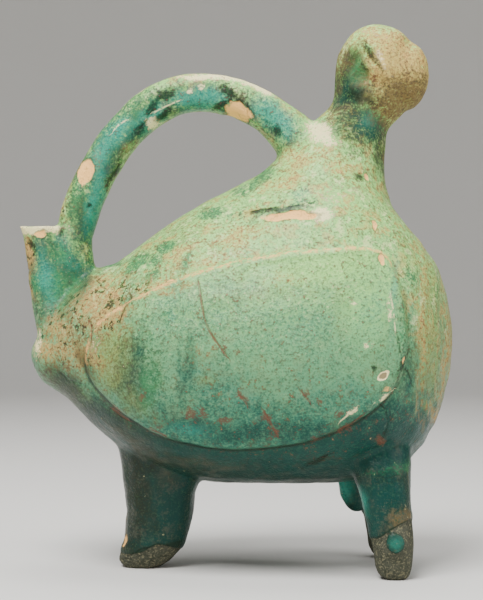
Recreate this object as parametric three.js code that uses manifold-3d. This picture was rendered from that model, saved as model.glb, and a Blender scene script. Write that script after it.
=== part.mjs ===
// A bird-shaped pouring ewer of glazed fired clay: one hollow piece with a neck and head, a loop handle over
// the back, a lipped filling cup at the tail, a raised wing on each side, two front legs and one broad back leg.
//
// Millimetres, +Z up. The bird faces +X, and the plane Y = 0 cuts it into its left and right halves.
// The origin is on the floor, under the middle of the box that holds the whole ewer.

import * as THREE from "three";
import { mergeVertices } from "three/addons/utils/BufferGeometryUtils.js";
import Module from "manifold-3d";

// Driving dimensions.
const HEIGHT = 260; // floor to crown
const WALL = 6; // clay around the belly and the neck
const CUP_BORE = 10; // width of the filling channel below the cup
const CUP_RIM = 3; // clay around the mouth of the cup
const HANDLE_DEPTH = 18.5; // handle, across the curve of its loop
const HANDLE_WIDTH = 18; // handle, from side to side
const WING_RELIEF = 2.2; // how far each wing stands out from the side
const LEG_WIDTH = 20.5; // front leg at mid height, seen from the side
const LEG_SPREAD = 74; // between the middles of the two front feet
const BACK_LEG_LENGTH = 32.5; // back leg at mid height, seen from the side
const BACK_LEG_WIDTH = 30; // back leg at mid height, seen from behind
const GLAZE_DROP = 21; // length of the drop of glaze that hangs from the belly between the front legs

// How finely the skins are drawn.
const BODY_SIDES = 36;
const RINGS_PER_STATION = 2;
const CAVITY_SIDES = 18;
const HANDLE_SIDES = 14;
const CUP_SIDES = 18;
const LEG_SIDES = 14;
const CHANNEL_RINGS = 8;
const MASS_SIDES = 10;
const MASS_RINGS = 0.7; // rings of a round mass as a share of its sides
const FACE_SIDES = 16;
const SAME_POINT = 1e-3; // corners nearer than this are one corner

// The free forms are stated in hundredths of the height, as [x, z] in the plane Y = 0.
const share = HEIGHT / 100;

// Body, neck and head as one row of slices from the tail to the crown. Each slice runs from the back of the bird
// to its belly or breast, with half its width, and how far its widest place is moved (egg below 0: to the belly).
const SLICES = [
  { back: [-37.8, 40.1], belly: [-37.8, 38.6], half: 1.0, egg: 0 }, // tail end
  { back: [-37.3, 41.0], belly: [-36.9, 36.2], half: 3.6, egg: 0 },
  { back: [-36.0, 43.6], belly: [-35.1, 33.8], half: 6.6, egg: 0 },
  { back: [-31.9, 49.5], belly: [-31.0, 31.1], half: 9.8, egg: 0 },
  { back: [-26.8, 54.5], belly: [-26.8, 26.8], half: 13.2, egg: 0 },
  { back: [-22.0, 56.1], belly: [-21.6, 22.3], half: 17.0, egg: 0 },
  { back: [-17.2, 59.8], belly: [-15.7, 18.8], half: 20.2, egg: -0.02 },
  { back: [-12.9, 62.8], belly: [-7.4, 16.2], half: 22.2, egg: -0.04 },
  { back: [-9.6, 65.1], belly: [2.8, 15.5], half: 23.5, egg: -0.06 },
  { back: [-7.2, 66.5], belly: [13.5, 15.5], half: 24.0, egg: -0.08 }, // widest
  { back: [-5.5, 67.4], belly: [22.7, 16.2], half: 24.0, egg: -0.1 },
  { back: [-4.1, 68.1], belly: [31.9, 19.6], half: 23.6, egg: -0.12 },
  { back: [-2.4, 69.0], belly: [36.9, 26.6], half: 22.8, egg: -0.14 }, // breast
  { back: [-0.6, 70.0], belly: [39.5, 35.8], half: 21.3, egg: -0.14 },
  { back: [1.8, 71.3], belly: [40.0, 44.7], half: 19.2, egg: -0.12 },
  { back: [4.8, 72.9], belly: [37.7, 54.6], half: 16.2, egg: -0.1 },
  { back: [7.9, 75.7], belly: [33.0, 61.3], half: 13.0, egg: -0.07 }, // foot of the neck
  { back: [11.3, 79.0], belly: [28.9, 66.6], half: 10.0, egg: -0.04 },
  { back: [14.4, 82.2], belly: [27.6, 72.4], half: 7.4, egg: 0 },
  { back: [17.2, 84.6], belly: [27.7, 77.5], half: 5.8, egg: 0 }, // throat
  { back: [18.3, 86.8], belly: [28.4, 80.9], half: 5.3, egg: 0 },
  { back: [18.5, 89.9], belly: [31.0, 83.6], half: 6.7, egg: 0 },
  { back: [18.8, 94.2], belly: [33.6, 89.2], half: 7.8, egg: 0 }, // head
  { back: [20.9, 97.5], belly: [33.2, 95.6], half: 6.3, egg: 0 },
  { back: [22.9, 99.2], belly: [31.0, 98.3], half: 4.0, egg: 0 },
  { back: [25.1, 100.0], belly: [27.5, 99.9], half: 1.1, egg: 0 }, // crown
];
const CAVITY_START = 2.2; // slice where the hollow begins
const CAVITY_END = 18.7; // slice where it ends, in the neck
const CAVITY_ROUNDING = 1.2; // slices over which each end of it closes
const CAVITY_TIP = 0.3; // size of its last slice, as a share of a full one
const MIN_SLANT = 0.45; // sine of the flattest angle between a slice and the outline that is allowed for

// Outline of the wing, as seen from the side, from its tip at the tail over the top edge.
const WING = [
  [-26.0, 38.9],
  [-25.0, 43.1],
  [-22.1, 46.4],
  [-17.8, 48.9],
  [-12.2, 51.6],
  [-5.1, 54.2],
  [4.7, 56.5],
  [15.7, 57.9],
  [25.1, 57.9],
  [28.3, 54.2],
  [30.0, 48.7],
  [30.5, 43.0],
  [29.5, 36.6],
  [25.8, 31.5],
  [19.7, 27.3],
  [11.2, 24.3],
  [1.7, 23.2],
  [-5.5, 23.8],
  [-12.2, 25.4],
  [-18.6, 28.8],
  [-22.7, 32.2],
  [-25.3, 35.3],
];
const WING_STEPS = 2; // points of the wing's edge for each point of its outline

// Middle line of the handle from the cup over the back to the neck, with its thickness as a share of the handle's.
const HANDLE = [
  { at: [-27.9, 47.4], thick: 1.2 },
  { at: [-29.4, 52.1], thick: 1.12 },
  { at: [-29.9, 56.3], thick: 1.04 },
  { at: [-29.9, 60.2], thick: 1.0 },
  { at: [-29.3, 63.3], thick: 1.0 },
  { at: [-27.3, 69.3], thick: 1.0 },
  { at: [-23.8, 75.9], thick: 1.0 },
  { at: [-19.9, 81.0], thick: 1.0 },
  { at: [-15.1, 85.2], thick: 1.02 },
  { at: [-8.6, 87.6], thick: 1.0 },
  { at: [-1.2, 87.0], thick: 1.0 },
  { at: [4.8, 84.6], thick: 1.02 },
  { at: [9.0, 81.4], thick: 1.14 },
  { at: [12.6, 77.5], thick: 1.4 },
];
const HANDLE_RINGS = 32;
const HANDLE_SQUARENESS = 2.5; // 2 is an oval, and more is squarer
const HANDLE_WIDEST = 1.3; // where the handle thickens into the neck, it widens by no more than this

// Rings of the filling cup from inside the tail up to its rim: height, rear and front edge, half its width.
const CUP = [
  { z: 41.0, rear: -36.3, front: -24.2, half: 7.0 },
  { z: 44.7, rear: -37.0, front: -26.4, half: 5.9 },
  { z: 48.4, rear: -37.7, front: -28.2, half: 4.9 },
  { z: 52.1, rear: -38.15, front: -29.5, half: 4.3 },
  { z: 55.8, rear: -38.5, front: -30.6, half: 3.9 },
  { z: 59.0, rear: -39.0, front: -31.3, half: 3.8 },
  { z: 61.4, rear: -39.4, front: -31.7, half: 3.95 },
  { z: 62.9, rear: -39.5, front: -31.8, half: 4.1 }, // rim
];
const CUP_LIP = { z: 0.25, reach: 0.55, sharpness: 6 }; // the rim is pinched backwards and up into a lip
const FUNNEL_LIP = { foot: 0.2, top: 1.2 }; // how far the funnel follows the lip below and above the rim

// Middle line of the channel from just below the rim of the cup down to the hollow of the body. It is all but upright,
// so what is poured in falls straight into the hollow.
const CHANNEL = [
  [-34.4, 58.6],
  [-34.1, 53.0],
  [-33.9, 48.0],
  [-33.75, 43.0],
  [-33.7, 38.0],
];

// Squareness of the legs' slices, as for the handle.
const LEG_SQUARENESS = 2.2;

// Legs, from the top inside the belly down to the sole: height, middle, and size as a share of the mid-height size.
const FRONT_LEG = [
  { z: 24.0, x: 25.2, spread: 0.62, long: 1.75, wide: 1.45 },
  { z: 19.5, x: 26.4, spread: 0.78, long: 1.4, wide: 1.35 },
  { z: 15.6, x: 27.0, spread: 0.87, long: 1.2, wide: 1.18 },
  { z: 12.0, x: 27.5, spread: 0.93, long: 1.07, wide: 1.05 },
  { z: 8.4, x: 28.1, spread: 0.97, long: 1.0, wide: 1.0 },
  { z: 5.2, x: 28.5, spread: 1.0, long: 0.93, wide: 0.95 },
  { z: 2.4, x: 28.6, spread: 1.0, long: 0.86, wide: 0.88 },
  { z: 0.8, x: 28.7, spread: 1.0, long: 0.72, wide: 0.74 },
  { z: 0, x: 28.9, spread: 1.0, long: 0.5, wide: 0.52 }, // sole
];
const BACK_LEG = [
  { z: 28.0, x: -13.1, long: 1.5, wide: 1.6 },
  { z: 22.5, x: -13.2, long: 1.4, wide: 1.48 },
  { z: 18.8, x: -13.2, long: 1.26, wide: 1.3 },
  { z: 16.1, x: -13.6, long: 1.15, wide: 1.16 },
  { z: 13.3, x: -13.9, long: 1.04, wide: 1.06 },
  { z: 10.0, x: -13.9, long: 1.0, wide: 1.0 },
  { z: 5.0, x: -14.8, long: 0.92, wide: 0.92 },
  { z: 3.1, x: -15.7, long: 0.87, wide: 0.86 },
  { z: 1.3, x: -16.7, long: 0.77, wide: 0.78 },
  { z: 0, x: -17.2, long: 0.55, wide: 0.6 }, // sole
];

// Round mass of the face, and the hollows on each side of the head: middle, half sizes and tilt in the side view,
// half size from side to side, and how far out from the middle line.
const FACE = { at: [31.1, 90.7], size: [4.75, 6.65], half: 6.2 };
const EYE_HOLLOW = { at: [24.8, 94.0], size: [1.6, 3.3], half: 1.7, out: 8.4, tilt: 25 };
const NAPE_HOLLOW = { at: [22.2, 89.2], size: [1.9, 2.3], half: 1.5, out: 7.1, tilt: 20 };

// The drop of glaze hangs from the belly towards the left front leg.
const DROP = { at: [21.6, 13.5], out: 3.9, slim: 0.52, tilt: 24 };

const wasm = await Module();
wasm.setup();

const yAxis = new THREE.Vector3(0, 1, 0);

function sideView([x, z], y = 0) {
  return new THREE.Vector3(x * share, y, z * share);
}

// A closed mesh as a solid that can be joined and cut.
function solid(geometry) {
  const bare = geometry.clone();
  bare.deleteAttribute("normal");
  bare.deleteAttribute("uv");
  const merged = mergeVertices(bare, SAME_POINT);
  return new wasm.Manifold(
    new wasm.Mesh({
      numProp: 3,
      vertProperties: merged.attributes.position.array,
      triVerts: new Uint32Array(merged.index.array),
    }),
  );
}

function geometryOf(manifold) {
  const mesh = manifold.getMesh();
  const geometry = new THREE.BufferGeometry();
  geometry.setAttribute("position", new THREE.BufferAttribute(mesh.vertProperties, 3));
  geometry.setIndex(new THREE.BufferAttribute(mesh.triVerts, 1));
  geometry.computeVertexNormals();
  return geometry;
}

// An oval ring of points. It turns from u towards v, so the row of rings runs along u x v. A squareness of 2
// is an ellipse, and egg moves the widest place towards +u, or towards -u when it is below 0.
function ring({ centre, u, v, halfU, halfV, sides, squareness = 2, egg = 0 }) {
  const round = (value) => Math.sign(value) * Math.abs(value) ** (2 / squareness);
  return Array.from({ length: sides }, (_, i) => {
    const angle = (2 * Math.PI * i) / sides;
    const along = round(Math.cos(angle));
    const across = round(Math.sin(angle)) * (1 + egg * along);
    return centre.clone().addScaledVector(u, halfU * along).addScaledVector(v, halfV * across);
  });
}

// The closed skin over a row of rings, with a fan of faces over each end.
function skin(rings) {
  const sides = rings[0].length;
  const points = rings.flat();
  const middle = (loop) => loop.reduce((sum, p) => sum.add(p), new THREE.Vector3()).divideScalar(sides);
  points.push(middle(rings[0]), middle(rings.at(-1)));
  const [startPole, endPole] = [points.length - 2, points.length - 1];
  const lastRing = (rings.length - 1) * sides;
  const faces = [];
  for (let side = 0; side < sides; side += 1) {
    const next = (side + 1) % sides;
    faces.push(startPole, next, side, endPole, lastRing + side, lastRing + next);
    for (let row = 0; row < rings.length - 1; row += 1) {
      const [low, high] = [row * sides, (row + 1) * sides];
      faces.push(low + side, low + next, high + next, low + side, high + next, high + side);
    }
  }
  const geometry = new THREE.BufferGeometry().setFromPoints(points);
  geometry.setIndex(faces);
  return geometry;
}

// A smooth curve through points of three values each.
function smooth(values) {
  return new THREE.CatmullRomCurve3(values.map((v) => new THREE.Vector3(...v)), false, "catmullrom");
}

const backLine = smooth(SLICES.map(({ back, half }) => [...back, half]));
const bellyLine = smooth(SLICES.map(({ belly, egg }) => [...belly, egg]));

// One slice of the body at a fractional slice number, scaled about its middle. It is drawn in by a distance square
// to the outline, so a slice that meets the outline at a slant is shortened by more than the distance.
function bodySlice(place, sides, drawnIn = 0, scale = 1) {
  const progress = place / (SLICES.length - 1);
  const [backValues, bellyValues] = [backLine.getPoint(progress), bellyLine.getPoint(progress)];
  const back = sideView([backValues.x, backValues.y]);
  const belly = sideView([bellyValues.x, bellyValues.y]);
  const u = back.clone().sub(belly).normalize();
  const slanted = (line) => {
    const { x, y } = line.getTangent(progress);
    const slant = new THREE.Vector3(x, 0, y).normalize().cross(u).length();
    return drawnIn / Math.max(slant, MIN_SLANT);
  };
  back.addScaledVector(u, -slanted(backLine));
  belly.addScaledVector(u, slanted(bellyLine));
  return ring({
    centre: back.clone().add(belly).divideScalar(2),
    u,
    v: yAxis.clone().negate(),
    halfU: (back.distanceTo(belly) / 2) * scale,
    halfV: (backValues.z * share - drawnIn) * scale,
    egg: bellyValues.z,
    sides,
  });
}

function bodySkin(drawnIn = 0) {
  const count = (SLICES.length - 1) * RINGS_PER_STATION;
  return skin(
    Array.from({ length: count + 1 }, (_, i) => bodySlice(i / RINGS_PER_STATION, BODY_SIDES, drawnIn)),
  );
}

// The hollow of the body follows the outside, one wall in, and closes in a round end in the tail and in the neck.
function cavitySkin() {
  const rings = [];
  for (let place = CAVITY_START; place <= CAVITY_END; place += 1 / RINGS_PER_STATION) {
    const fromEnd = Math.min(place - CAVITY_START, CAVITY_END - place);
    const shortfall = 1 - Math.min(Math.max(fromEnd, 0) / CAVITY_ROUNDING, 1);
    rings.push(bodySlice(place, CAVITY_SIDES, WALL, Math.max(Math.sqrt(1 - shortfall ** 2), CAVITY_TIP)));
  }
  return skin(rings);
}

// A slab through both sides of the body, with the outline of the wing. It shows only where it stands out.
function wingSlab() {
  const outline = new THREE.CatmullRomCurve3(WING.map((p) => sideView(p)), true).getPoints(WING.length * WING_STEPS);
  outline.pop();
  const shape = new THREE.Shape(outline.map((p) => new THREE.Vector2(p.x, p.z)));
  const depth = HEIGHT;
  const slab = new THREE.ExtrudeGeometry(shape, { depth, bevelEnabled: false });
  slab.rotateX(Math.PI / 2);
  slab.translate(0, depth / 2, 0);
  return slab;
}

function handleSkin() {
  const line = new THREE.CatmullRomCurve3(HANDLE.map(({ at }) => sideView(at)), false, "catmullrom");
  const thickness = smooth(HANDLE.map(({ thick }) => [thick, 0, 0]));
  const rings = Array.from({ length: HANDLE_RINGS + 1 }, (_, i) => {
    const place = i / HANDLE_RINGS;
    const tangent = line.getTangent(place);
    const thick = thickness.getPoint(place).x;
    return ring({
      centre: line.getPoint(place),
      u: new THREE.Vector3().crossVectors(yAxis, tangent),
      v: yAxis,
      halfU: (HANDLE_DEPTH / 2) * thick,
      halfV: (HANDLE_WIDTH / 2) * Math.min(thick, HANDLE_WIDEST),
      squareness: HANDLE_SQUARENESS,
      sides: HANDLE_SIDES,
    });
  });
  return skin(rings.reverse().map((loop) => loop.reverse()));
}

// A level ring of the cup, drawn in by a distance, with its rear side pulled out into the lip.
function cupRing({ z, rear, front, half }, drawnIn, lip, lift = 0) {
  const loop = ring({
    centre: sideView([(rear + front) / 2, z]),
    u: new THREE.Vector3(1, 0, 0),
    v: yAxis,
    halfU: ((front - rear) / 2) * share - drawnIn,
    halfV: half * share - drawnIn,
    sides: CUP_SIDES,
  });
  loop.forEach((point, i) => {
    const pull = Math.max(-Math.cos((2 * Math.PI * i) / CUP_SIDES), 0) ** CUP_LIP.sharpness * lip;
    point.x -= pull * CUP_LIP.reach * share;
    point.z += pull * CUP_LIP.z * share + lift;
  });
  return loop;
}

function cupSkin() {
  return skin(CUP.map((level, i) => cupRing(level, 0, i === CUP.length - 1 ? 1 : 0)));
}

// The inside of the cup: a mouth that follows the rim and its lip, and a round channel down to the hollow.
function channelSkin() {
  const rim = CUP.at(-1);
  const below = CUP.at(-3);
  const mouth = [
    cupRing(below, CUP_RIM, FUNNEL_LIP.foot),
    cupRing(rim, CUP_RIM, 1),
    cupRing(rim, CUP_RIM, FUNNEL_LIP.top, CUP_RIM),
  ];
  const line = new THREE.CatmullRomCurve3(CHANNEL.map((p) => sideView(p)));
  const bore = Array.from({ length: CHANNEL_RINGS + 1 }, (_, i) => {
    const tangent = line.getTangentAt(i / CHANNEL_RINGS).negate();
    return ring({
      centre: line.getPointAt(i / CHANNEL_RINGS),
      u: new THREE.Vector3().crossVectors(yAxis, tangent),
      v: yAxis,
      halfU: CUP_BORE / 2,
      halfV: CUP_BORE / 2,
      sides: CUP_SIDES,
    });
  });
  return skin([...bore.reverse(), ...mouth]);
}

// side is -1 for the bird's right leg, 1 for its left, and 0 for a leg on the middle line.
function legSkin(levels, { long, wide, side = 0 }) {
  return skin(
    levels
      .map((level) =>
        ring({
          centre: sideView([level.x, level.z], side * (level.spread ?? 0) * (LEG_SPREAD / 2)),
          u: new THREE.Vector3(1, 0, 0),
          v: yAxis,
          halfU: (long / 2) * level.long,
          halfV: (wide / 2) * level.wide,
          squareness: LEG_SQUARENESS,
          sides: LEG_SIDES,
        }),
      )
      .reverse(),
  );
}

// A round mass. Its tilt is how many degrees its top leans towards the tail.
function roundMass({ at, size, half, out = 0, tilt = 0 }, side = 1, sides = MASS_SIDES) {
  const mass = new THREE.SphereGeometry(1, sides, Math.round(sides * MASS_RINGS));
  mass.scale(size[0] * share, half * share, size[1] * share);
  mass.rotateY(THREE.MathUtils.degToRad(-tilt));
  mass.translate(...sideView(at, side * out * share));
  return mass;
}

function bothSides(mass) {
  return solid(roundMass(mass, -1)).add(solid(roundMass(mass, 1)));
}

function glazeDrop() {
  const half = GLAZE_DROP / 2 / share;
  return solid(
    roundMass({ ...DROP, size: [half * DROP.slim, half], half: half * DROP.slim }, 1),
  );
}

function ewer() {
  const wings = solid(bodySkin(-WING_RELIEF)).intersect(solid(wingSlab()));
  const legSize = { long: LEG_WIDTH, wide: LEG_WIDTH };
  const outside = solid(bodySkin())
    .add(wings)
    .add(solid(roundMass(FACE, 0, FACE_SIDES)))
    .add(solid(cupSkin()))
    .add(solid(handleSkin()))
    .add(solid(legSkin(FRONT_LEG, { ...legSize, side: -1 })))
    .add(solid(legSkin(FRONT_LEG, { ...legSize, side: 1 })))
    .add(solid(legSkin(BACK_LEG, { long: BACK_LEG_LENGTH, wide: BACK_LEG_WIDTH })))
    .add(glazeDrop());
  const inside = solid(cavitySkin()).add(solid(channelSkin()));
  return outside.subtract(inside).subtract(bothSides(EYE_HOLLOW)).subtract(bothSides(NAPE_HOLLOW));
}

const glazedClay = new THREE.MeshStandardMaterial({ color: 0x5fa98c, roughness: 0.35, metalness: 0 });

const piece = new THREE.Mesh(geometryOf(ewer()), glazedClay);
piece.name = "ewer";

const group = new THREE.Group();
group.add(piece);

export default group;
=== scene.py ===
"""A bird-shaped ewer of glazed fired clay, finished with worn turquoise glaze and set in a plain studio."""

import math

import bmesh
import bpy
import numpy as np
from bpy.props import FloatProperty, FloatVectorProperty, IntProperty, PointerProperty
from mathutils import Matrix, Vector, noise


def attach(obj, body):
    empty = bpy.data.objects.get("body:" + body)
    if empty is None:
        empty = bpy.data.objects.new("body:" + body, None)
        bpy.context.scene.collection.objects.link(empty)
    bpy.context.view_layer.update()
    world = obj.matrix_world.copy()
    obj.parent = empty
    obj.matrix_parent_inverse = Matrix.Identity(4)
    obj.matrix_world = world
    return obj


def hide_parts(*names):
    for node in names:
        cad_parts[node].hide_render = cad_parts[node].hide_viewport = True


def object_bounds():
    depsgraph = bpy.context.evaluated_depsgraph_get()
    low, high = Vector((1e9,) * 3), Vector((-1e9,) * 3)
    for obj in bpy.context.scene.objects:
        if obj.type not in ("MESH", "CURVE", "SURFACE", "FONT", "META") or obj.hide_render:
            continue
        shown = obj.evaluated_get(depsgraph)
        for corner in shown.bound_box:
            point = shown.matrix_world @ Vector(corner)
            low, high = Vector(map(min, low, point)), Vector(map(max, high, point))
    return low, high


bl_info = {
    "name": "Glazed Ewer",
    "version": (1, 0, 0),
    "blender": (4, 5, 0),
    "location": "3D View > Sidebar > Ewer",
    "description": "Makes a bird-shaped ewer of worn turquoise glaze and the studio that it stands in",
    "category": "Add Mesh",
}

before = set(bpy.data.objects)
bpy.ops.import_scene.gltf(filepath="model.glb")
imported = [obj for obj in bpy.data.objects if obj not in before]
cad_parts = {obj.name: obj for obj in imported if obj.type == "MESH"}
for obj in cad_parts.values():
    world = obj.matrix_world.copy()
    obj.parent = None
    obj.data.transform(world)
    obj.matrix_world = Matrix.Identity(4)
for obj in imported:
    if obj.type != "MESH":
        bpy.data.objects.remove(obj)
CAD_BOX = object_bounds()
MM = 0.001
SAME_PLACE = 1e-6  # points nearer to each other than this are joined, in metres
INSIDE = 1e-5  # how far the finished surface stays inside the CAD box, in metres

# Outline of the raised wing in the side view, in mm, from its tip at the tail over the top edge.
WING = [
    (-67.6, 101.1), (-65.0, 112.1), (-57.5, 120.6), (-46.3, 127.1), (-31.7, 134.2), (-13.3, 140.9),
    (12.2, 146.9), (40.8, 150.5), (65.3, 150.5), (73.6, 140.9), (78.0, 126.6), (79.3, 111.8), (76.7, 95.2),
    (67.1, 81.9), (51.2, 71.0), (29.1, 63.2), (4.4, 60.3), (-14.3, 61.9), (-31.7, 66.0), (-48.4, 74.9),
    (-59.0, 83.7), (-65.8, 91.8),
]

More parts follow.
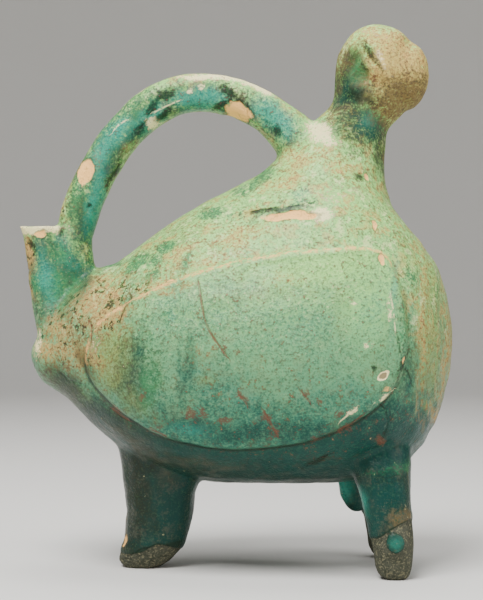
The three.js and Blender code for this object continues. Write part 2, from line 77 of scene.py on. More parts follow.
# Strokes of glaze and wear, and of painted light and shade, on the bird's right side, in mm: middle x and z,
# half length, half width, turn from level in degrees, and strength. The left side takes the same strokes,
# moved a little.
STROKES = {
    # Thick deep glaze.
    # Thick glaze of a deep teal; low on the belly its dark tone is also painted shade.
    "teal": (
        (-71, 169, 18, 10.5, 76, 0.95), (-63, 195, 19, 10.5, 60, 0.95), (-45, 213, 19, 9.5, 42, 0.95),
        (-21, 224, 18, 8.5, 5, 0.85), (3, 219, 16, 7.5, -15, 0.8), (20, 210, 14.5, 7.5, -38, 0.75),
        (-88, 138, 24, 14.5, -84, 0.9), (-89, 152, 11.5, 13.5, 0, 0.85), (-78, 140, 14.5, 11.5, -60, 1),
        (65, 212, 9.5, 8.5, 0, 0.9), (55, 227, 9.5, 6.5, 70, 0.9), (-14, 71, 27, 5.5, -8, 0.7),
        (26, 69, 36, 6.5, 2, 0.8), (58, 72, 18, 7, 20, 0.75), (-46, 106, 12, 6.5, 80, 0.45),
        (-37, 86, 18, 7, -45, 0.5), (-91, 128, 14, 5.5, -84, 0.7), (-78, 140, 12.5, 7.5, -80, 0.72),
        (-71, 169, 16, 4, 78, 0.7), (-89, 145, 12.5, 5.5, -84, 0.5), (52, 225, 12.5, 6.5, 60, 0.6),
        (71, 64, 20, 15.5, 10, 0.95), (31, 51, 37, 6.5, 4, 0.95), (-13, 56, 25.5, 7, -14, 0.85),
        (-57, 67, 21.5, 7, -40, 0.6), (-28, 31, 22.5, 10.5, 88, 0.85), (-35, 14, 10.5, 5.5, 10, 0.7),
        (70, 39, 12, 10, 0, 0.8), (65, 24, 12, 3, 88, 0.85), (8, 67, 35, 5, 3, 0.75),
        (53, 73, 20, 4.5, 20, 0.6), (-20, 96, 20.5, 5, 84, 0.62), (-41, 108, 18, 3, 82, 0.5),
        (-42, 105, 5.5, 3, 70, 0.75), (-50, 90, 7.5, 2.5, 60, 0.5), (-10, 86, 19.5, 7, 80, 0.45),
        (14, 76, 31.5, 8, 5, 0.45), (51, 50, 14, 4.5, 10, 0.9), (53, 36, 6, 4, -60, 0.5),
        (81, 96, 18, 3, 84, 0.7), (60, 230, 7, 4, 70, 0.9), (55, 223, 6.5, 4.5, 20, 0.8),
        (61, 188, 6.5, 2.5, -20, 0.4),
    ),
    # Runs of greener glaze.
    "green": (
        (-95, 135, 5.5, 12.5, -84, 0.7), (-83, 150, 7.5, 5.5, -60, 0.7), (-82, 135, 9.5, 11.5, -80, 0.8),
        (-69, 178, 14.5, 4, 78, 0.6), (-37, 90, 15.5, 6.5, 80, 0.6), (-46, 145, 7.5, 3.5, 40, 0.95),
        (-37, 146, 5.5, 3.5, 30, 0.7), (-31, 153, 5.5, 3, 18, 1), (-11, 169, 6.5, 2.5, 12, 0.95),
        (-37, 139, 5, 2.5, 62, 0.85), (-21, 146, 7, 2, 62, 0.85), (-55, 214, 28.5, 8.5, 52, 0.6),
        (-76, 181, 19, 6.5, 72, 0.6), (10, 164, 6.5, 2, 10, 0.6), (-8, 154, 3, 3.5, 80, 0.6),
        (-82, 124, 8, 5.5, 70, 0.7), (-87, 113, 6.5, 4.5, 0, 0.6), (-51, 125, 4.5, 2.5, 38, 0.95),
        (3, 180, 4, 4.5, 80, 0.75), (-1, 167, 3, 3.5, 80, 0.6), (4, 168, 3, 2.5, 0, 0.6),
        (13, 186, 12.5, 3.5, 40, 0.8), (21, 198, 6.5, 3, 58, 0.7), (31, 173, 11, 2.5, 14, 0.6),
        (33, 179, 7.5, 2.5, 30, 0.4), (82, 139, 6.5, 3, -62, 0.7), (78, 119, 15.5, 2.5, 88, 0.6),
        (89, 115, 23, 1.5, 88, 0.5), (94, 128, 23, 1.5, 82, 0.45), (-29, 123, 10, 3, 88, 0.5),
        (-37, 105, 11.5, 3, 85, 0.5), (-55, 108, 6.5, 4.5, 60, 0.4), (-75, 200, 7.5, 2.5, 62, 0.5),
        (-74, 114, 9.5, 6.5, 20, 0.35), (-40, 220, 12.5, 3, 45, 0.6), (-51, 225, 14.5, 4, 44, 0.6),
        (-66, 157, 4, 6.5, 80, 0.6), (-61, 145, 10.5, 2, 8, 0.8), (-72, 148, 6.5, 6.5, 0, 0.4),
        (59, 238, 7.5, 4, 66, 0.95), (71, 233, 2, 2, 0, 0.6), (64, 226, 4, 3.5, 0, 0.3),
        (74, 51, 15.5, 3.5, 5, 0.4),
    ),
    # Bluer glaze of the handle, the cup and the throat, and a painted bluish sheen on the front part of the
    # wing.
    "blue": (
        (75, 18, 5.5, 5, -62, 0.4), (-66, 174, 18, 4.5, 82, 0.9), (-63, 200, 16, 5, 62, 0.8),
        (-40, 215, 12.5, 5, 44, 0.8), (-55, 209, 8.5, 4.5, 52, 0.9), (-15, 224, 15, 5.5, 4, 1),
        (18, 216, 14.5, 6.5, -36, 0.95), (25, 208, 6.5, 4.5, -50, 0.7), (-82, 157, 7.5, 5, -75, 0.5),
        (-90, 140, 14.5, 4.5, -80, 0.7), (-88, 128, 11.5, 4, -78, 0.5), (-78, 146, 9.5, 6.5, 0, 0.35),
        (64, 215, 7.5, 5.5, 70, 0.42), (55, 34, 7.5, 6, -62, 1), (63, 123, 20, 11.5, 75, 0.45),
        (73, 129, 22.5, 2.5, 86, 0.5), (74, 135, 13.5, 1.5, 88, 0.6), (31, 115, 27, 13.5, 0, 0.22),
        (-19, 69, 12, 4, -10, 0.5), (-27, 121, 4.5, 2.5, 80, 0.4), (31, 177, 5.5, 2.5, 20, 0.4),
    ),
    # Yellow-green thin glaze.
    "olive": (
        (-69, 209, 18.5, 2.5, 58, 0.75), (-46, 230, 16.5, 2.5, 38, 0.7), (-75, 192, 8.5, 2.5, 70, 0.55),
        (-78, 176, 12.5, 3, 78, 0.6), (-55, 96, 17.5, 8, -52, 0.85), (-46, 83, 15.5, 5.5, -38, 0.6),
        (-62, 108, 9, 4.5, 40, 0.7), (-55, 104, 16.5, 11, 80, 0.9), (-25, 158, 24, 8.5, 27, 0.5),
        (-52, 133, 14, 7.5, 20, 0.3), (57, 209, 7, 4.5, 65, 0.9), (72, 200, 12.5, 4.5, -82, 0.7),
        (74, 181, 11.5, 4, -78, 0.7), (45, 186, 16.5, 7.5, 0, 0.35), (91, 115, 41.5, 7.5, 88, 0.8),
        (106, 99, 43.5, 6, 88, 0.85), (101, 80, 21, 4, -75, 0.5), (81, 147, 16.5, 5.5, -70, 0.5),
        (-75, 82, 14, 6.5, -42, 0.8), (-63, 72, 12, 4.5, -40, 0.6), (-47, 43, 21, 5.5, -84, 0.8),
        (-51, 55, 9.5, 4.5, -60, 0.6), (49, 247, 9.5, 6, 66, 0.9), (52, 242, 8.5, 4.5, 60, 0.6),
        (-12, 94, 2.5, 5.5, 80, 0.5), (-3, 224, 10.5, 3.5, -20, 0.6), (13, 223, 11.5, 3, -30, 0.5),
        (-3, 227, 12.5, 3, -14, 0.6), (80, 37, 14, 2, 88, 0.6), (13, 63, 9, 1.5, 0, 0.3),
        (8, 133, 27, 7, 4, 0.35), (54, 179, 14, 6.5, 0, 0.3),
    ),
    # Clay through thin glaze.
    "tan": (
        (80, 232, 21, 17, -60, 1.3), (71, 250, 17, 6.5, -30, 0.8), (55, 253, 12.5, 4, 40, 0.55),
        (46, 236, 10.5, 2.5, 84, 0.7), (-59, 121, 15.5, 7.5, 30, 0.8), (-81, 114, 11, 7.5, -40, 0.7),
        (3, 158, 18.5, 4.5, 20, 0.6), (-64, 128, 17.5, 10, 25, 0.72), (-76, 105, 18.5, 10, -20, 0.7),
        (-89, 104, 8.5, 5.5, -50, 0.8), (-38, 134, 18.5, 4.5, 22, 0.6), (-10, 146, 18, 5.5, 18, 0.5),
        (1, 154, 9, 5.5, 20, 0.55), (-20, 152, 14, 4.5, 30, 0.35), (-99, 152, 7.5, 2.5, -84, 0.95),
        (-99, 133, 12.5, 1.5, -84, 0.85), (-81, 105, 11, 4.5, -30, 0.6), (-82, 174, 8.5, 2, 78, 0.6),
        (-62, 185, 5, 2.5, 60, 0.35), (-74, 196, 7.5, 2.5, 66, 0.5), (-59, 222, 8.5, 2, 46, 0.5),
        (-67, 194, 6.5, 3, 70, 0.4), (-52, 200, 5.5, 3, 40, 0.35), (31, 194, 12, 5.5, 0, 0.6),
        (41, 198, 9.5, 5.5, 0, 0.6), (52, 190, 12, 5.5, -20, 0.5), (24, 183, 11, 3.5, 20, 0.7),
        (88, 119, 36.5, 3.5, 88, 0.5), (99, 147, 16.5, 3, -68, 0.7), (99, 100, 28, 2.5, 86, 0.6),
        (105, 104, 43.5, 4, 88, 0.62), (98, 66, 16.5, 3, -66, 0.6), (49, 243, 10.5, 3.5, 68, 0.6),
        (74, 241, 13, 9.5, -40, 0.75), (81, 227, 12.5, 10.5, -40, 0.8), (66, 230, 5.5, 4, 30, 0.75),
        (81, 221, 11.5, 5.5, 20, 0.85), (-53, 17, 9.5, 1.5, -84, 0.5), (76, 28, 6, 5, 0, 0.6),
        (69, 253, 10.5, 2.5, -10, 0.9), (-17, 236, 14.5, 2, 4, 0.5), (31, 234, 5, 2, -40, 0.5),
        (31, 225, 9.5, 2.5, -38, 0.8), (-26, 133, 13.5, 2.5, 12, 0.5), (24, 137, 9, 4, -5, 0.4),
        (-51, 115, 7.5, 5.5, 40, 0.4), (-12, 104, 6.5, 4.5, 70, 0.25),
    ),
    # Brown scuffs, and a painted shadow where the wing's tip meets the tail.
    "brown": (
        (-69, 112, 15.5, 11, 10, 0.5), (-78, 98, 10.5, 4, -38, 0.6), (-89, 94, 7.5, 5.5, -50, 0.6),
        (81, 223, 15, 10.5, 10, 1.15), (50, 242, 4, 10.5, 10, 0.6), (3, 224, 6.5, 4.5, -24, 0.8),
        (48, 232, 9.5, 2.5, 84, 0.75), (80, 223, 12.5, 7, 20, 0.75), (66, 230, 4.5, 3, 20, 0.75),
        (46, 230, 6, 3.5, 80, 0.6), (50, 219, 6.5, 2.5, 20, 0.85), (76, 28, 6, 5, 0, 0.55),
        (-11, 53, 21.5, 3.5, -6, 0.45), (40, 56, 13.5, 2.5, 0, 0.4), (-48, 63, 16, 3.5, -40, 0.5),
        (-32, 48, 12, 6.5, 80, 0.3), (-54, 76, 12, 3, -42, 0.4), (14, 137, 7, 4.5, 0, 0.25),
        (68, 64, 2.5, 2.5, 0, 0.6),
    ),
    # Clean bare clay.
    "bare": (
        (2, 218, 6, 5, -18, 1), (26, 167, 12.5, 2, 3, 1), (65, 163, 3, 1.5, -50, 0.72),
        (68, 146, 3.5, 1.5, -50, 0.75), (62, 185, 3, 1.5, -45, 0.7), (-71, 189, 6.5, 3, 76, 1),
        (-93, 160, 3.5, 2, 0, 0.8), (-28, 137, 2.5, 1.5, 20, 0.6), (-53, 13, 4.5, 1.5, 80, 0.65),
        (78, 101, 3, 1.5, 85, 0.6), (70, 88, 4, 1.5, 30, 0.62),
    ),
    # Worn white edges, and painted glints on the wing's front edge and on the ridge of the brow.
    "cream": (
        (-41, 233, 17.5, 1.5, 37, 0.85), (-9, 235, 17, 2, 0, 0.95), (13, 230, 12.5, 2, -22, 0.9),
        (31, 222, 7.5, 1.5, -38, 0.7), (-94, 162, 11.5, 2, 0, 1), (-103, 163, 3, 3, 0, 1),
        (41, 207, 8, 4.5, -40, 0.85), (41, 168, 3, 5, 76, 0.85), (49, 176, 12, 6.5, 0, 0.35),
        (65, 254, 11.5, 2, -12, 0.3), (72, 238, 6.5, 4, -50, 0.25), (69, 242, 7, 1.5, -58, 0.48),
        (-94, 107, 6.5, 3, 80, 0.6), (-40, 213, 3, 3, 0, 0.9), (-36, 214, 1.5, 1.5, 0, 0.7),
        (-21, 228, 2, 1.5, 0, 0.8), (-15, 229, 2, 1.5, 10, 0.9), (68, 84, 4, 1.5, 32, 0.74),
        (54, 78, 3.5, 1.5, 42, 0.76), (72, 122, 4, 1.5, 84, 0.8), (71, 129, 2.5, 1.5, 84, 0.7),
        (61, 108, 2, 1.5, 20, 0.7), (62, 231, 2.5, 2, 0, 0.35), (55, 126, 2, 1.5, 0, 0.6),
        (8, 175, 2, 1.5, 0, 0.3), (-63, 108, 4.5, 2.5, 70, 0.4),
    ),
    # Nearly black glaze.
    "dark": (
        (-33, 226, 4.5, 3.5, 28, 1), (-39, 220, 5.5, 2, 48, 0.85), (-45, 210, 6.5, 2, 52, 0.8),
        (-58, 188, 7.5, 1.5, 60, 0.78), (-34, 217, 6, 1.5, 30, 0.8), (-6, 221, 4.5, 1.5, 22, 0.95),
        (-3, 228, 5, 3, -40, 0.9), (5, 219, 5, 1.5, -76, 0.95), (3, 223, 4.5, 1.5, -20, 0.85),
        (20, 209, 4.5, 2.5, -35, 0.8), (16, 213, 2.5, 1.5, 0, 0.6), (-69, 174, 1.5, 1.5, 0, 0.9),
        (58, 185, 3, 1.5, -24, 0.8), (23, 170, 15.5, 1.5, 6, 0.9), (39, 55, 6, 1.5, 26, 0.9),
        (58, 226, 5.5, 3.5, 20, 0.7), (64, 222, 4.5, 2, -30, 0.45), (64, 246, 5.5, 2, -56, 0.9),
        (61, 238, 5.5, 2, -70, 0.6), (68, 239, 5.5, 1.5, -58, 0.75), (-42, 9, 5.5, 1.5, 35, 0.9),
        (-32, 11, 7.5, 1.5, 12, 0.95), (-52, 7, 3.5, 1.5, -60, 0.9), (-97, 154, 4.5, 1.5, -64, 0.8),
        (-83, 161, 1.5, 2, 0, 0.8), (65, 98, 1.5, 1.5, 0, 0.9), (70, 69, 11, 1.5, 70, 0.5),
        (77, 99, 8, 1.5, 62, 0.7), (-47, 130, 6.5, 1.5, 40, 0.6),
    ),
    # Brown-red spots.
    "rust": (
        (66, 232, 2.5, 1.5, 0, 0.8), (-18, 77, 2.5, 2.5, 0, 0.95), (-13, 78, 1.5, 2.5, 0, 0.95),
        (-3, 74, 2.5, 1.5, -25, 0.95), (6, 85, 1.5, 2.5, 60, 0.9), (16, 76, 2, 2, 0, 0.9),
        (20, 69, 3, 1.5, -70, 0.9), (33, 86, 2, 1.5, -60, 0.85), (49, 78, 3, 1.5, 20, 0.9),
        (38, 66, 2.5, 1.5, 0, 0.7), (68, 64, 2, 2, 0, 0.8), (51, 70, 4.5, 1.5, 15, 0.6),
        (4, 87, 1.5, 1.5, 0, 0.8), (3, 105, 2, 1.5, 0, 0.8), (-3, 107, 2, 1.5, -60, 0.7),
        (-41, 85, 2.5, 2, 70, 0.6), (-53, 77, 3.5, 1.5, -38, 0.7), (-34, 69, 2.5, 1.5, 0, 0.6),
        (2, 129, 1.5, 1.5, 0, 0.5), (40, 84, 2, 1.5, 0, 0.6), (18, 65, 2, 1.5, 0, 0.5),
    ),
    # Small chips with a white edge.
    "chip": (
        (69, 94, 3, 2, 42, 1),
    ),
    # Painted shade over dark olive glaze, mostly low on the body, under the wings and on the legs.
    "low": (
        (-42, 93, 18, 11, 70, 0.6), (-50, 98, 20, 10, 76, 0.42), (-81, 93, 12, 4.5, -42, 0.5),
        (-69, 100, 11, 3, -62, 0.85), (55, 236, 12.5, 7, 78, 1.1), (51, 227, 10.5, 5, 84, 0.9),
        (52, 210, 9.5, 7.5, 0, 0.7), (61, 225, 8.5, 5.5, 0, 0.95), (55, 214, 12.5, 7.5, 10, 0.8),
        (65, 208, 11.5, 9.5, 0, 0.75), (70, 196, 12.5, 5, -80, 0.75), (55, 199, 9.5, 5.5, 0, 0.5),
        (-77, 140, 12.5, 10.5, -60, 0.72), (-83, 132, 12.5, 8.5, -80, 0.6), (-93, 152, 11.5, 4, -84, 0.4),
        (-74, 110, 12, 6.5, -10, 0.35), (-79, 191, 16.5, 3, 70, 0.5), (-70, 166, 15.5, 4.5, 80, 0.75),
        (-64, 186, 14.5, 3.5, 64, 0.7), (-51, 205, 14.5, 3.5, 48, 0.6), (-62, 213, 15.5, 4, 54, 0.52),
        (-28, 218, 14.5, 2.5, 14, 0.5), (-79, 87, 14, 7, -45, 0.95), (-63, 70, 17, 8.5, -42, 1),
        (-44, 55, 17, 8.5, -30, 1), (-20, 49, 23.5, 8, -6, 1), (8, 46, 28, 8, 0, 1), (40, 44, 28, 7, 4, 1),
        (59, 50, 14, 6.5, 10, 0.8), (-47, 31, 29.5, 8.5, 88, 1), (-29, 29, 28.5, 10.5, 88, 1),
        (71, 37, 27.5, 13, 88, 0.95), (74, 10, 15.5, 13.5, 88, 0.9), (55, 34, 9.5, 7, 0, 1),
    ),
    # Painted light: lighter glaze on the upper and front parts of the wings, the back, the breast and the
    # head.
    "pale": (
        (63, 129, 20, 12.5, 80, 0.95), (44, 143, 31.5, 7, 4, 1), (31, 157, 32, 6.5, 4, 0.5),
        (-1, 156, 23, 6.5, 24, 0.55), (-15, 142, 18, 4.5, 20, 0.5), (31, 194, 19, 10.5, 40, 0.5),
        (66, 246, 12.5, 6.5, -40, 1.1), (90, 133, 27.5, 5.5, 88, 0.5),
    ),
}

# Thin lines on the bird's right side, in mm: dark seams and cuts, the rusty crack, pale scratches and a
# painted glint along the wing's front edge.
LINES = {
    "dark": (
        ((7.8, 169.2), (13.4, 170), (20.8, 170.8), (28.2, 171.2), (36.5, 173)),
        ((32.8, 50.9), (36.5, 53.5), (40.1, 55.6), (44.6, 58.1)),
        ((-51.2, 118.9), (-50.4, 121.6), (-48.6, 125.3), (-45.3, 127.1)),
        ((-51.2, 5.7), (-47.7, 7.4), (-44.8, 9.5), (-40, 10.6), (-32.9, 11.4), (-28, 9.3), (-25, 6.6)),
        ((-56.7, 6.6), (-54.4, 4.3), (-50.8, 2.9), (-46.4, 2.1)),
        ((6, 223.5), (6.4, 219.6), (6.4, 215.1)),
        ((-45.1, 209.9), (-42.2, 213.2), (-39.3, 217.9)),
        ((-63.2, 136.3), (-60.4, 134), (-58.8, 132.6)),
        ((-56.9, 128.9), (-54.8, 126.6), (-52.9, 128.4)),
        ((75, 110.5), (75.9, 105.1), (76.8, 98.7), (75.5, 93.3), (73.3, 88.7)),
        ((76.8, 98.7), (79.9, 95.8), (81.9, 90.2)),
        ((65.9, 82.6), (69.8, 78.7), (70.9, 72.1), (69.2, 66.4)),
        ((-81.6, 94.5), (-76.7, 90.8), (-70.5, 89.2)),
    ),
    "rust": (
        (
            (-14.8, 135.7),
            (-13.8, 130.3),
            (-12.8, 124.9),
            (-11.8, 119.6),
            (-10, 115.1),
            (-7.2, 110.6),
            (-4.5, 107.1),
            (-1.4, 102.6),
        ),
        ((-55.8, 77.6), (-51.5, 74.5), (-48.2, 72.7)),
        ((-37.8, 69.3), (-34.1, 68), (-30.4, 66.2)),
        ((3.9, 85.6), (5.7, 83.8), (7.1, 81.5)),
        ((14.7, 78.8), (17.3, 74.2), (20.9, 67.1)),
        ((30.8, 88.3), (33.5, 85.2), (35.3, 82.9)),
        ((-66.3, 118.2), (-64.6, 114.5), (-64.8, 110.9)),
        ((48.9, 69.7), (54.3, 72.5), (58.7, 76.3)),
    ),
    "pale": (
        ((65, 82.6), (68.6, 84.9), (72.9, 87.3)),
        ((49.7, 74.1), (52.8, 76.9), (55.9, 79.6)),
        ((71.9, 130.3), (73.2, 123.1), (74, 115)),
        ((-58, 208.9), (-55.6, 211.7), (-51.7, 214.1)),
        ((-38.8, 217.4), (-33.6, 220.2), (-26.9, 223.1)),
    ),
}

LEFT_SHIFT = (5.5, -3.5)  # how far the left side's strokes are moved, in mm
STRAY = ((1.6, 8), (0.7, 3.5))  # how far the strokes' edges stray, and over waves of what size, in mm
LINE_REACH = 3.5  # a line's field ends this far from it, in mm
EDGE_SPAN = 12  # the fields of the wing's edge and of the glaze's edge run from 0 to 1 over this many mm
OUTLINE_PIECES = 6  # straight pieces in each stretch of the wing's smooth outline

HOLLOW_FLOOR = (0.01, 0, 0.05)  # the walk over the inner wall starts near this place, in metres
HOLLOW_TOP = 0.15  # and stays below this height, in metres
SMOOTHING_STEPS = (0.5, -0.53)  # a step in and a slightly larger one back, so that nothing shrinks

# Small forms, in mm.
FRONT_LEGS = 30  # the front legs lie ahead of this, the back leg behind it
LEGS_TOP = 34  # the rolled edge of the glaze shows below this height
BEAD = (75, 16.2, 5.1, 6.1)  # middle x and z, half length and half height
LUMP = (60.5, 231.5, 2.4)  # middle x and z, and width
COMB = (76, 255, 5)
COMB_DIP = (83, 250.5, 3)  # the comb is worn down here
HEAD = (66.3, 240.2)  # middle x and z
FACE_WAY = (0.85, 0.53)  # the way that the face looks, in x and z
DROP_REACH = ((57, 10, 34), 18)  # the drop of glaze under the belly: a place and how far round it
TEMPLE_REACH = ((65, 18, 244), 20)  # the same for the side of the head

SHARE, UNDER, OVER, MIXED = 0, 6, 7, 2  # the Mix node's sockets for colours
NOISE_SPREAD = 2.4  # how much the noise's narrow range is widened

# The stage, in metres; the camera's sensor and lens are in mm, its turn and rise in degrees.
FLOOR_FLAT, FLOOR_TURN = 1.6, 1.0  # radius of the flat floor, and of its curve up into a wall
TURN_PARTS, FLOOR_PARTS = 12, 96  # flat parts up the curve, and round the floor
LAMPS = {  # size and place
    "key": (0.7, (-0.32, -0.72, 1.3)),
    "fill": (0.9, (1.15, -0.5, 0.85)),
    "top": (0.9, (0.05, 0.35, 1.4)),
}
LAMP_AIM = (0, 0, 0.12)
SENSOR, LENS = 36, 112.4
NEAREST = 0.05
CAMERA_TURN, CAMERA_RISE = 1.55, 0.17
CAMERA_AIM = (0.0031, 0, 0.1282)
CAMERA_AWAY = 0.901


def linear(code):
    """The linear colour of a colour code such as 7fb59a."""
    parts = [int(code[i : i + 2], 16) / 255 for i in (0, 2, 4)]
    return tuple(p / 12.92 if p <= 0.04045 else ((p + 0.055) / 1.055) ** 2.4 for p in parts)


def colour(name, description, code):
    """A colour setting, its default a colour code."""
    return FloatVectorProperty(
        name=name, description=description, subtype="COLOR", size=3, min=0, max=1, default=linear(code)
    )


def length(name, description, default):
    """A length setting, in metres."""
    return FloatProperty(
        name=name,
        description=description,
        default=default,
        min=0,
        precision=5,
        subtype="DISTANCE",
        unit="LENGTH",
    )


def power(name, description, default):
    """A setting for a lamp's power, in watts."""
    return FloatProperty(name=name, description=description, default=default, min=0, unit="POWER")


class EwerClay(bpy.types.PropertyGroup):
    grain: length("Grain", "Spacing of the points that the clay is shaped with", 0.0015)
    rounds: IntProperty(name="Smoothing", description="How often the clay is smoothed", default=38, min=1)
    hollow_share: FloatProperty(
        name="Hollow", description="Share of faces that the unseen hollow keeps", default=0.2, min=0.1, max=1
    )
    unevenness: length("Unevenness", "How far the hand-made surface strays in and out", 0.0005)
    groove: length("Throwing grooves", "Depth of the grooves on the breast", 0.00018)
    chip: length("Chips", "Depth of the places where the glaze has come off", 0.0005)
    pit: length("Pits", "Depth of the pits in the tail's glaze", 0.0006)
    ridge: length("Wing edge", "Height of the ridge along the top of each wing", 0.0006)
    undercut: length("Wing undercut", "Depth of the line cut in below each wing", 0.0007)
    bead: length("Glaze bead", "Height of the bead of glaze on the right front leg", 0.0017)
    temple: length("Temples", "Depth of the hollow behind the face on each side of the head", 0.0024)
    comb: length("Comb", "Height of the worn comb over the face", 0.0009)
    lump: length("Lump", "Height of the lump of glaze on the head", 0.0009)
    roll: length("Glaze roll", "Height of the rolled lower edge of the glaze on the legs", 0.0005)


class EwerGlaze(bpy.types.PropertyGroup):
    body: colour("Glaze", "Main glaze on the wings", "659f6e")
    # Its darker tone low on the wings is partly painted shade.
    mid: colour("Lower glaze", "Main glaze in the lower part of the wings", "3c7f66")
    # Also the painted light on the top of the ewer and in the pale strokes.
    pale: colour("Pale glaze", "Main glaze where it is thin and light", "9ed773")
    # Dark enough to stand also for painted shade on the belly.
    teal: colour("Deep glaze", "Glaze where it lies thick, low on the body", "043c36")
    green: colour("Green runs", "Runs of greener glaze on the back and the tail", "38824f")
    # Also paints a bluish sheen on the front part of the wing.
    blue: colour("Blue glaze", "Bluer glaze on the handle and the cup", "259a86")
    olive: colour("Yellow-green glaze", "Thin glaze over yellow clay", "87954c")
    tan: colour("Thin glaze", "Clay that shows through the thinnest glaze", "c79c58")
    # Also paints the shadow where the wing's tip meets the tail.
    brown: colour("Scuffs", "Brown scuffs in thick glaze and on the face", "5a4a33")
    bare: colour("Bare clay", "Clay where the glaze has come off", "ffc679")
    # Darkened as painted shade, the feet lying low and in shadow.
    foot: colour("Unglazed clay", "Clay of the unglazed feet", "484a3e")
    # Also paints glints on the wing's front edge and on the ridge of the brow.
    cream: colour("Worn white", "Slip and deposits on the worn edges", "fff0b4")
    dark: colour("Dark pools", "Nearly black glaze in hollows and lines", "12291a")
    rust: colour("Rust spots", "Iron spots in the glaze", "6e4736")
    # Painted shade low on the body, under the wings and on the legs, over some dark olive glaze.
    low: colour("Dark olive glaze", "Glaze low on the body and on the legs", "1c2117")


class EwerStage(bpy.types.PropertyGroup):
    floor: colour("Floor", "Colour of the floor and its sweep", "d9d7d2")
    key: power("Key light", "Power of the main light", 38)
    fill: power("Fill light", "Power of the light on the other side", 9)
    top: power("Top light", "Power of the light overhead", 12)
    sky: FloatProperty(name="Surroundings", description="Light from all round", default=0.16, min=0)


# Shaping the clay.


def merged_copy(node, name):
    """A new piece with the shape of a CAD node, its loose triangles joined."""
    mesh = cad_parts[node].data.copy()
    mesh.name = name
    mesh.materials.clear()
    clay = bmesh.new()
    clay.from_mesh(mesh)
    bmesh.ops.remove_doubles(clay, verts=clay.verts, dist=SAME_PLACE)
    clay.to_mesh(mesh)
    clay.free()
    piece = bpy.data.objects.new(name, mesh)
    bpy.context.scene.collection.objects.link(piece)
    return piece


def apply_modifiers(piece):
    """Gives a piece the mesh that its modifiers make, and takes them off."""
    graph = bpy.context.evaluated_depsgraph_get()
    made = bpy.data.meshes.new_from_object(piece.evaluated_get(graph))
    piece.modifiers.clear()
    piece.data = made
    made.name = piece.name


def points_of(mesh):
    """Places and normals of a mesh's points, in mm and as unit vectors."""
    places = np.empty(len(mesh.vertices) * 3)
    mesh.vertices.foreach_get("co", places)
    normals = np.empty(len(mesh.vertices) * 3)
    mesh.vertex_normals.foreach_get("vector", normals)
    return places.reshape(-1, 3) / MM, normals.reshape(-1, 3)


def step(value, low, high):
    """0 below low, 1 above high, and a smooth rise between them."""
    t = np.clip((value - low) / (high - low), 0, 1)
    return t * t * (3 - 2 * t)


def hump(value, middle, width):
    """1 at the middle, falling off on both sides over about the width."""
    return np.exp(-(((value - middle) / width) ** 2))


def near(places, middle, reach):
    """1 at a point and 0 at a distance of reach, in mm."""
    away = np.linalg.norm(places - np.array(middle), axis=1)
    return 1 - step(away, 0, reach)


def round_form(x, z, form):
    """1 at the middle of a small round form in the side view, falling off over its width."""
    at_x, at_z, width = form
    return hump(np.hypot(x - at_x, z - at_z), 0, width)


def waver(places, size, shift=0):
    """Smooth noise from about -1 to 1 at each point, with waves of a size in mm."""
    move = Vector((shift, shift * 0.7, -shift))
    return np.array([noise.noise(Vector(p) / size + move) for p in places])


def smooth_loop(corners, pieces):
    """A closed smooth line through corners, with some points on each of its stretches."""

    def curve(a, b, c, d, t):
        square, cube = 2 * a - 5 * b + 4 * c - d, 3 * b - a - 3 * c + d
        return 0.5 * (2 * b + (c - a) * t + square * t**2 + cube * t**3)

    line = []
    for i, start in enumerate(corners):
        before, end, after = (corners[(i + k) % len(corners)] for k in (-1, 1, 2))
        for k in range(pieces):
            line.append(tuple(curve(*four, k / pieces) for four in zip(before, start, end, after)))
    return line


def from_stretch(x, z, start, end):
    """Distance of each point from a straight stretch of line, above 0 on its left."""
    run, rise = end[0] - start[0], end[1] - start[1]
    t = np.clip(((x - start[0]) * run + (z - start[1]) * rise) / (run * run + rise * rise), 0, 1)
    away = np.hypot(x - start[0] - t * run, z - start[1] - t * rise)
    left = (z - start[1]) * run - (x - start[0]) * rise
    return np.where(left < 0, -away, away)


def wing_distance(places):
    """Distance in the side view from the wing's outline, in mm: above 0 inside it."""
    corners = smooth_loop(WING, OUTLINE_PIECES)
    x, z = places[:, 0], places[:, 2]
    away = np.full(len(places), np.inf)
    inside = np.zeros(len(places), bool)
    for start, end in zip(corners, corners[1:] + corners[:1]):
        away = np.minimum(away, np.abs(from_stretch(x, z, start, end)))
        if start[1] != end[1]:
            crossing = (end[0] - start[0]) * (z - start[1]) / (end[1] - start[1]) + start[0]
            inside ^= ((start[1] > z) != (end[1] > z)) & (x < crossing)
    return np.where(inside, away, -away)


def hollow_points(clay):
    """The points of the inner wall, found by walking over it from the floor of the hollow."""
    floor = Vector(HOLLOW_FLOOR)
    seed = min(clay.verts, key=lambda v: (v.co - floor).length)
    found, edge = {seed}, [seed]
    while edge:
        reached = []
        for point in edge:
            for link in point.link_edges:
                other = link.other_vert(point)
                if other not in found and other.co.z < HOLLOW_TOP:
                    found.add(other)
                    reached.append(other)
        edge = reached
    return found


def smoothing_share(places):
    """How much of the smoothing each point takes: less at edges, soles, the rim and small round forms."""
    x, y, z = places.T
    share = 0.2 + 0.8 * step(np.abs(wing_distance(places)), 1.5, 6)  # the wing's edge
    share = np.minimum(share, 0.12 + 0.88 * step(150 - z + np.maximum(x + 78, 0) * 3, 0, 14))  # the cup's rim
    share = np.minimum(share, 0.25 + 0.75 * step(z, 2, 9))  # the soles
    share = np.minimum(share, 1 - 0.85 * near(places, *DROP_REACH))
    both_sides = np.column_stack([x, np.abs(y), z])
    return np.minimum(share, 1 - 0.75 * near(both_sides, *TEMPLE_REACH))


